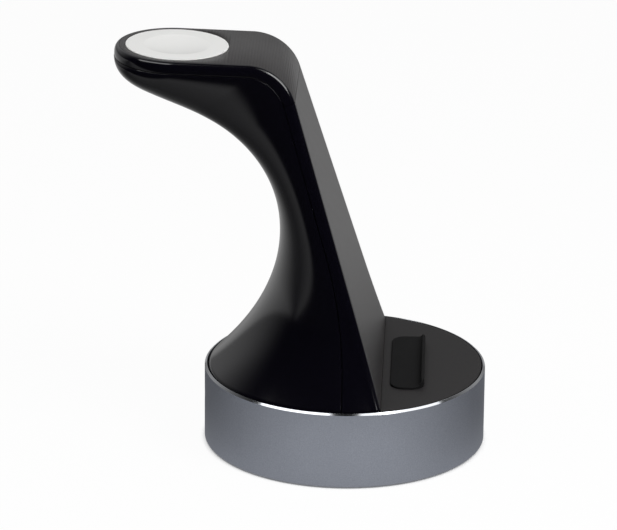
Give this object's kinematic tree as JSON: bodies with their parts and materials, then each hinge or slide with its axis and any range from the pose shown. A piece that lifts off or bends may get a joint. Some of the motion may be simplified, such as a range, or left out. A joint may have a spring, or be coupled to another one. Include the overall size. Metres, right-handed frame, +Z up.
{
  "type": "wireless charging stand",
  "caption": "Desk stand that charges a phone on its leaning face and a watch on the disc of a cantilevered arm, on a round metal base.",
  "frame": {"origin": "centre of the round base, on the surface that it rests on", "axes": "+Z up, -Y towards the phone side, +Y towards the watch arm, +X across the face"},
  "size_m": [0.12, 0.158, 0.1749],
  "materials": {
    "ring_aluminium": "bead-blasted and anodised grey, polished chamfer",
    "black_gloss": "polished black",
    "black_plastic": "moulded matt black",
    "deck_plastic": "matt dark grey",
    "pad_plastic": "matt grey with fine cross ribs",
    "rubber": "matt black",
    "white_gloss": "satin white",
    "steel": "zinc plated",
    "brass_pin": "plated",
    "copper": "enamelled winding",
    "ferrite": "dark grey sintered",
    "plated_magnet": "nickel plated",
    "circuit_board": "green solder mask",
    "board_parts": "moulded parts",
    "connector": "cream nylon",
    "lead_cover": "round insulated lead"
  },
  "bodies": {
    "root": {"base_ring": "ring_aluminium", "base_chassis": "black_plastic", "base_deck": "deck_plastic", "phone_rest": "rubber", "bottom_cover": "black_plastic", "foot_pad": "rubber", "bottom_screws": "steel", "ballast_plate": "steel", "main_board": "circuit_board", "board_parts": "board_parts", "board_connectors": "connector", "board_screws": "steel", "dc_inlet": "black_plastic", "inlet_pin": "brass_pin", "back_shell": "black_gloss", "front_cover": "black_gloss", "face_pad": "pad_plastic", "arm_cover": "black_gloss", "arm_pad": "pad_plastic", "shell_screws": "steel", "cover_screws": "steel", "coil_carrier": "black_plastic", "phone_coil": "copper", "phone_ferrite": "ferrite", "carrier_screws": "steel", "watch_disc": "white_gloss", "watch_housing": "black_plastic", "watch_magnet": "plated_magnet", "watch_coil": "copper", "watch_ferrite": "ferrite", "watch_yoke": "steel", "watch_board": "circuit_board", "watch_screws": "steel", "coil_lead": "lead_cover", "watch_lead": "lead_cover"}
  },
  "joints": []
}
